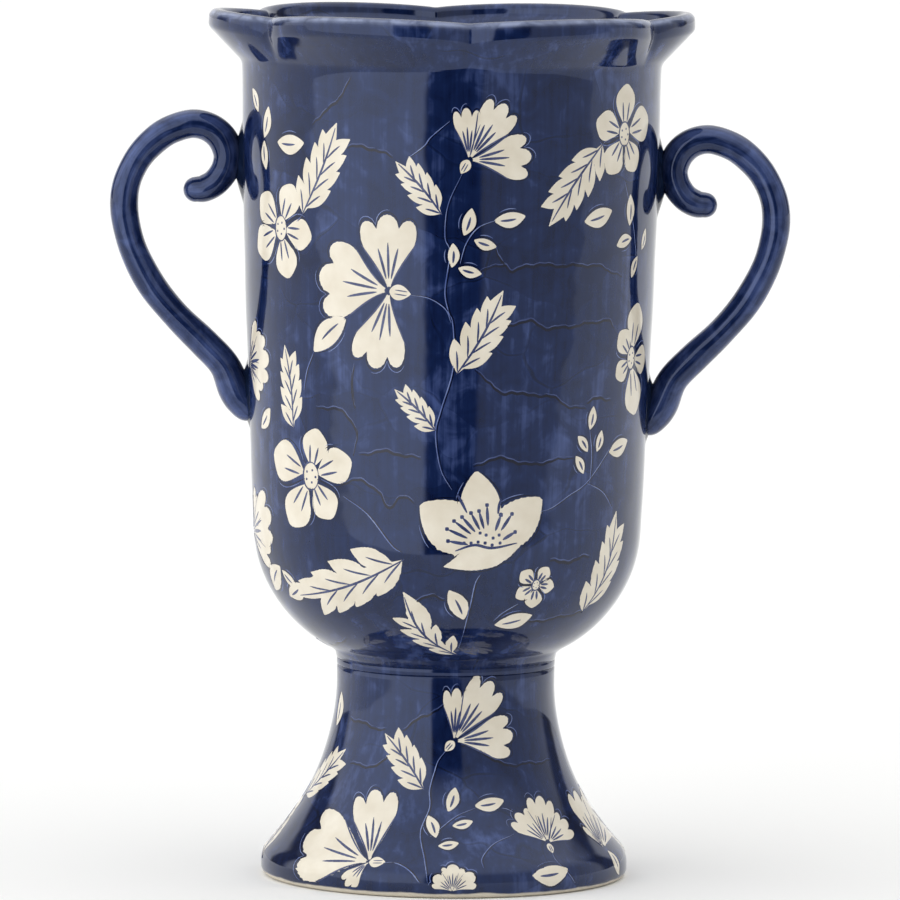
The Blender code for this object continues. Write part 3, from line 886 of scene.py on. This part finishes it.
# %% Cup-shaped bloom
BLOOM_HEART = (489, 548)
BLOOM_FULLEST, STAMEN_WIDTH, STAMEN_HEAD, POLLEN_SIZE, FOLD_WIDTH = 0.54, 1.3, 1.1, 0.9, 1.1
BLOOM_PETALS = (((486, 552), (476, 470), 0.54, 0.62), ((492, 556), (419, 503), 0.62, 0.55),
                ((480, 556), (543, 497), 0.55, 0.50), ((443, 567), (519, 547), 0.34, 0.06))
for root, tip, plump, begin in BLOOM_PETALS:
    at, length, heading = between(root, tip)
    blade("cup_flowers", at, length, heading, plump * length, fullest=BLOOM_FULLEST)
    outline(at, length, heading, plump * length, BLOOM_FULLEST, 0.0, begin)
STAMENS = ((448, 541), (447, 529), (454, 521), (462, 517), (471, 513), (479, 511), (487, 505), (501, 515),
           (512, 514), (515, 532))
for tip in STAMENS:
    at, length, heading = between(BLOOM_HEART, tip)
    vein(at, length, heading, 0.52, 0.97, width=STAMEN_WIDTH)
    dots(spot(*tip), STAMEN_HEAD)
POLLEN = ((464, 543), (471, 543), (478, 542), (485, 543), (492, 545), (500, 543), (480, 533), (486, 535),
          (493, 538), (499, 535))
for grain in POLLEN:
    dots(spot(*grain), POLLEN_SIZE)
BLOOM_FOLDS = (((455, 551), (474, 545), (492, 548), (517, 543)), ((457, 494), (462, 503), (467, 513)),
               ((501, 499), (499, 506), (498, 514)))
for fold in BLOOM_FOLDS:
    line("ink", spot(*fold[0]), *route_through(fold), FOLD_WIDTH, raised=INK_LIFT)
print("bloom petals:", len(BLOOM_PETALS), "stamens:", len(STAMENS))

# %% [markdown]
# ## Flowers of the foot
#
# The foot carries the same plants, drawn smaller. They could be copies of the cup's, but the
# painter fitted them to the flare, so each is placed by itself. The line of sight finds the
# foot's wall as it finds the cup's.

# %% Flowers and leaves of the foot
FOOT_SIDE_BLOSSOMS = {
    "upper_fan": ((454, 741), (((457, 687), 40, 3), ((493, 680), 46, 3), ((514, 735), 56, 3)),
                  (446, 750)),
    "low_fan": ((548, 843), (((515, 812), 62, 3), ((538, 794), 54, 3), ((566, 820), 58, 3)),
                (552, 852)),
    "great_blossom": ((369, 862), (((377, 788), 50, 3), ((306, 838), 72, 3), ((345, 888), 46, 3)),
                      (383, 862)),
    "right_edge": ((604, 848), (((574, 790), 58, 3), ((592, 800), 58, 3), ((584, 822), 58, 3)), None),
    "ground_flower": ((452, 893), (((434, 876), 66, 2), ((453, 864), 62, 2), ((474, 874), 66, 2)),
                      None),
}
FOOT_TOOTHED_LEAVES = {
    "middle": ((424, 790), (387, 733), 0.50, 0.04), "left": ((304, 796), (344, 748), 0.50, 0.04),
    "left_edge": ((262, 858), (297, 800), 0.50, 0.04),
}
FOOT_LEAFLETS = {
    "left_high": ((336, 726), (341, 691)), "sprig_a": ((448, 812), (455, 787)),
    "sprig_b": ((474, 806), (504, 800)), "sprig_c": ((452, 826), (473, 821)),
    "sprig_d": ((436, 838), (428, 815)), "sprig_e": ((438, 846), (459, 843)),
    "low": ((532, 876), (568, 869)), "right_edge": ((607, 850), (619, 884)),
}
plants("foot", FOOT_SIDE_BLOSSOMS, {}, FOOT_TOOTHED_LEAVES, FOOT_LEAFLETS)
print("all layers:", {name: len(parts) for name, parts in layers.items()})

# %% [markdown]
# ## Stems
#
# Stems were scratched through the blue: a pale line with a dark one beside it. Each follows a
# smooth curve through a few pixels. A formula could bend them all alike, but the painter steered
# each one between the leaves.

# %% Stems
STEMS = (
    ((463, 172), (448, 205), (445, 237), (450, 253), (445, 290), (448, 310), (453, 326), (453, 369),
     (441, 411), (436, 434), (441, 469), (452, 490)),
    ((408, 295), (428, 298), (445, 309), (451, 323)), ((302, 215), (296, 222), (290, 228)),
    ((480, 575), (475, 584), (471, 603), (467, 621), (460, 650)),
    ((343, 496), (367, 514), (391, 545), (400, 552)), ((603, 143), (612, 138), (620, 136)),
    ((540, 512), (552, 508), (569, 496), (587, 483), (606, 456), (612, 446)),
    ((587, 483), (603, 492), (612, 508)), ((590, 486), (592, 456), (590, 430)),
    ((314, 352), (307, 371), (304, 390)), ((624, 180), (632, 220), (636, 262)),
    ((460, 264), (466, 244), (478, 228), (497, 220)), ((518, 604), (503, 613), (494, 621)),
    ((408, 158), (424, 146), (431, 137), (450, 121)),
    ((451, 745), (439, 759), (434, 771), (428, 790), (427, 808), (415, 832), (417, 858), (420, 883)),
    ((381, 863), (396, 863), (410, 871), (420, 883)), ((430, 837), (454, 817), (473, 808)),
    ((502, 808), (507, 809), (513, 812)), ((551, 851), (558, 863), (575, 883)),
    ((514, 834), (493, 844), (480, 858), (480, 868)),
)
STEM_WIDTH, STEM_SHADE, SHADE_BESIDE = 0.5, 0.7, 0.6
for stem in STEMS:
    at, (right, up) = spot(*stem[0]), route_through(stem)
    line("scratch", at, right, up, STEM_WIDTH)
    line("shadow", at, right + SHADE_BESIDE, up, STEM_SHADE)
print("stems:", len(STEMS))

# %% [markdown]
# ## Edges of the washes
#
# Blue was laid on in short washes, one above the other. Where a wash stopped, its colour
# gathered in a wavy dark line, with a thin pale one just above it where the brush missed. The
# glaze's own pattern has faint edges everywhere; those that catch the eye are drawn, so that
# they lie where the photograph shows them.

# %% Wash edges
WASH_EDGES = (
    ((480, 273), (503, 265), (513, 273), (526, 266), (549, 266), (576, 266), (599, 267), (622, 278)),
    ((499, 334), (508, 326), (531, 322), (549, 329), (576, 326), (606, 321), (614, 328)),
    ((475, 371), (488, 381), (500, 394), (513, 392), (529, 396), (549, 396), (567, 406), (586, 410)),
    ((473, 467), (486, 462), (506, 459), (526, 465), (549, 462), (574, 457)),
    ((496, 248), (501, 261), (508, 269)), ((587, 402), (598, 399), (611, 400)),
    ((347, 148), (360, 147), (375, 150), (393, 158)),
    ((352, 77), (344, 90), (335, 104), (324, 112), (312, 126)),
    ((316, 409), (336, 409), (352, 422), (357, 436), (353, 455)),
    ((359, 455), (383, 452), (402, 455), (421, 460)),
    ((340, 484), (359, 481), (378, 491), (388, 508), (400, 498), (414, 503)),
    ((354, 364), (352, 386), (355, 410)), ((550, 560), (563, 563), (577, 559), (590, 557)),
    ((525, 623), (541, 621), (571, 615), (582, 612)), ((300, 640), (330, 646), (352, 640)),
    ((405, 604), (430, 597), (445, 600)), ((350, 718), (367, 725), (386, 731)),
    ((403, 730), (418, 720), (444, 706)), ((461, 745), (478, 749), (502, 764), (527, 764), (551, 761)),
    ((350, 764), (376, 766), (391, 752)),
)
WAVE, RIPPLE, PALE_ABOVE = 0.45, 0.22, 0.85
EDGE_WIDTH, PALE_WIDTH, PALE_END = 1.5, 0.6, 0.5
for number, edge in enumerate(WASH_EDGES):
    at, path = spot(*edge[0]), route_through(edge).T
    length = run_length(path)
    wave = WAVE * np.sin(0.5 * length + number) + RIPPLE * np.sin(1.3 * length + 2 * number)
    right, up = path[:, 0], path[:, 1] + wave
    third = len(path) // 3
    line("shadow", at, right, up, EDGE_WIDTH)
    line("wash_lines", at, right[:-third], up[:-third] + PALE_ABOVE, PALE_WIDTH)
    line("wash_lines", at, right[-third:], up[-third:] + PALE_ABOVE, PALE_END)
print("wash edges:", len(WASH_EDGES))

# %% [markdown]
# ## Both sides of the pot
#
# The painter worked the same panel twice, once on each side between the handles. Each layer is
# joined into one piece, with a second copy turned half way round. A painted piece takes the
# wall's own direction for its shading, so that it lies flat under the glaze.

# %% Painted pieces
FINISH = {"cup_flowers": (cream, "body_glaze"), "cup_leaves": (cream, "body_glaze"),
          "foot_flowers": (cream, "foot_glaze"), "foot_leaves": (cream, "foot_glaze"),
          "ink": (ink, "body_glaze"), "ink_dots": (ink, "body_glaze"),
          "shadow": (shadow_line, "body_glaze"), "scratch": (scratch, "body_glaze"),
          "wash_lines": (wash_line, "body_glaze")}


def wall_facing(points):
    """Outward direction of the wall under each point, from its height and its angle."""
    x, y, z = points.T
    nr, nz = (np.where(z > base, np.interp(z, cup_wall.z, on_cup), np.interp(z, foot_wall.z, on_foot))
              for on_cup, on_foot in ((cup_wall.nr, foot_wall.nr), (cup_wall.nz, foot_wall.nz)))
    return np.column_stack((points[:, :2] * (nr / np.hypot(x, y))[:, None], nz))


for layer, (material, slot) in FINISH.items():
    points = np.vstack([p for p, _ in layers[layer]])
    starts = np.insert(np.cumsum([len(p) for p, _ in layers[layer]]), 0, 0)
    faces = np.vstack([f + start for (_, f), start in zip(layers[layer], starts)])
    both = np.vstack((points, points * (-1, -1, 1)))
    make_piece("painted_" + layer, both, np.vstack((faces, faces + len(points))), material, slot,
               facing=wall_facing(both))

# %% [markdown]
# ## Slip at the handle joints
#
# A coil is stuck on with slip, which squeezes out and is smoothed into a low mound round the
# joint. Glaze pools there and goes dark. Each mound is a lens on the wall that replaces its
# plain pad. It could be sculpted, but only a low dome with a soft edge shows beside the coil.

# %% Slip mounds
# joint, height of its middle, half height and half width
MOUNDS = (("lower", LOWER_JOINT + 0.5, 14.5, 9.5), ("upper", LOWER_JOINT + 88.5, 17.0, 8.5))
MOUND_RISE, MOUND_FALL, MOUND_SUNK, MOUND_BACK = 3.4, 1.6, 0.05, -0.4
for word, side, drop in (("left", -1, 0.0), ("right", 1, DROP)):
    for which, height, tall, wide in MOUNDS:
        up, across = disc(41, 25)
        along = float(np.interp(height - drop, cup_wall.z, cup_wall.s)) + tall * up
        place = side * math.pi / 2 + wide * across / wall_at(height - drop)
        lift = MOUND_RISE * (1 - np.clip(np.hypot(across, up), 0, 1) ** 2) ** MOUND_FALL - MOUND_SUNK
        front, back = (on_wall(cup_wall, place, along, out) for out in (lift, MOUND_BACK))
        name = f"{word}_{which}_slip"
        make_piece(name + "_mound", *closed_patch(front, back), pooled, "slip_joint", name + "_pad")

# %% [markdown]
# ## Floor and light
#
# The photograph was taken in white light that wraps round the pot like a tent, open only
# towards the camera. Glossy glaze shows that tent: broad pale sheets on both flanks, and a dark
# upright band in the middle where the opening is. The world's colour by direction makes the
# same tent, with a light overhead. The paper floor stops just in front of the vase, so that the
# wall mirrors the tent and not the floor. The eye itself sees plain white behind the vase.
# Large lamps could stand for the tent, but a world has no lamp's edge to hide.

# %% Floor
floor_material, tree, output = new_material("white_paper_sweep")
paper = add(tree, "BsdfDiffuse", {"Color": linear("#F6F6F5")})
tree.links.new(paper.outputs[0], output.inputs[0])
FLOOR_REACH, FLOOR_FRONT = 40.0, -0.5
corners = ((-FLOOR_REACH, FLOOR_FRONT, 0), (FLOOR_REACH, FLOOR_FRONT, 0),
           (FLOOR_REACH, FLOOR_REACH, 0), (-FLOOR_REACH, FLOOR_REACH, 0))
floor_mesh = bpy.data.meshes.new("floor")
floor_mesh.from_pydata(corners, [], [(0, 1, 2, 3)])
floor_mesh.materials.append(floor_material)
floor = bpy.data.objects.new("floor", floor_mesh)
bpy.context.collection.objects.link(floor)
print("floor from", FLOOR_FRONT, "m in front of the axis to", FLOOR_REACH, "m behind it")

# %% World
world = bpy.data.worlds.new("light_tent")
world.use_nodes = True
bpy.context.scene.world = world
tree = world.node_tree
tree.nodes.clear()
way = add(tree, "TexCoord").outputs["Generated"]
parts = add(tree, "SeparateXYZ", {0: way}).outputs
front = add(tree, "Math", {0: parts[1], 1: -1.0}, operation="MULTIPLY").outputs[0]
azimuth = add(tree, "Math", {0: parts[0], 1: front}, operation="ARCTAN2").outputs[0]
share = add(tree, "MapRange", {0: azimuth, 1: -math.pi, 2: math.pi}).outputs[0]
TENT = ((-180, 0.9), (-142, 0.9), (-138, 0.12), (-122, 0.12), (-116, 1.3), (-60, 1.8), (-15, 1.65),
        (-12.5, 0.02), (15.5, 0.02), (18, 0.55), (60, 0.62), (118, 0.7), (124, 0.12), (136, 0.12),
        (140, 0.9), (180, 0.9))     # degrees to the right of the front, brightness
TOP_LIGHT, TOP_FROM, TOP_TO = 1.3, 0.5, 0.75
stops = [((degrees + 180) / 360, level) for degrees, level in TENT]
tent = add(tree, "ValToRGB", {0: share}, stops).outputs[0]
overhead = add(tree, "MapRange", {0: parts[2], 1: TOP_FROM, 2: TOP_TO}).outputs[0]
glow = add(tree, "Mix", {0: overhead, 6: tent, 7: (TOP_LIGHT,) * 3 + (1,)}, data_type="RGBA").outputs[2]
seen = add(tree, "LightPath").outputs["Is Camera Ray"]
paper_white = add(tree, "Mix", {0: seen, 6: glow, 7: (1, 1, 1, 1)}, data_type="RGBA").outputs[2]
sky = add(tree, "Background", {"Color": paper_white, "Strength": 1.0})
tree.links.new(sky.outputs[0], add(tree, "OutputWorld").inputs[0])

bpy.context.scene.view_settings.view_transform = "Standard"
print("tent levels:", len(TENT))
